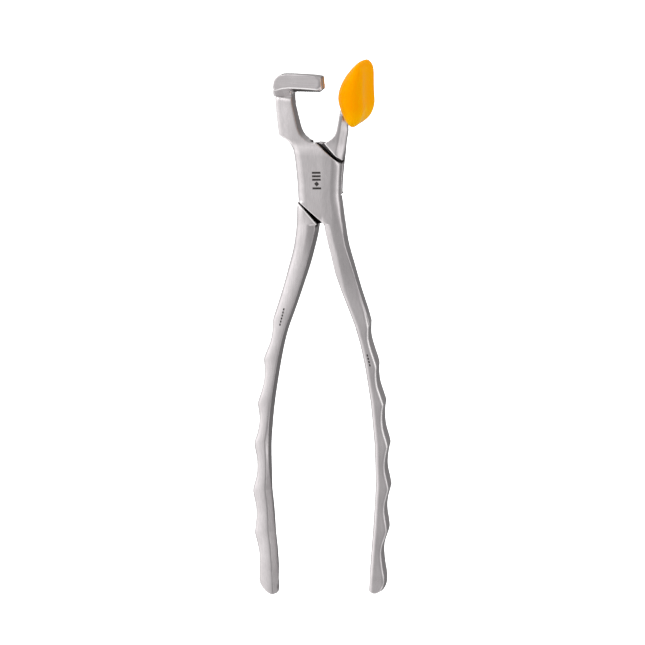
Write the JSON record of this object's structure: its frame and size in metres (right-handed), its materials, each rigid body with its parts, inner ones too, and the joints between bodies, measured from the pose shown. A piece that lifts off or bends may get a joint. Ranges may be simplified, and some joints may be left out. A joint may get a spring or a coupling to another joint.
{
  "type": "extraction forceps",
  "caption": "Lever-type dental extraction forceps: serrated hook beak opposite a silicone bumper cushion, lapped pivot joint, long curved handles with slanted finger scallops.",
  "frame": {"origin": "centre of the pivot, mid-way between the front and back faces of the joint", "axes": "+Z along the tool from the handles towards the working end, +X towards the bumper side, -Y out of the front face of the joint"},
  "size_m": [0.0545, 0.0244, 0.209],
  "materials": {
    "steel": "satin",
    "screw_steel": "turned",
    "silicone": "gloss"
  },
  "bodies": {
    "beak_arm": {"beak_half": "steel", "pivot_screw": "screw_steel"},
    "bumper_arm": {"bumper_half": "steel"},
    "cushion_sleeve": {"bumper_cushion": "silicone"}
  },
  "joints": [
    {"name": "jaw_pivot", "type": "hinge", "parent": "beak_arm", "child": "bumper_arm", "pos_m": [0, 0, 0], "axis": [0, 1, 0], "range_deg": [-7, 22]},
    {"name": "cushion_pull", "type": "slide", "parent": "bumper_arm", "child": "cushion_sleeve", "axis": [0.1736, 0, 0.9848], "range_m": [0, 0.03]}
  ]
}
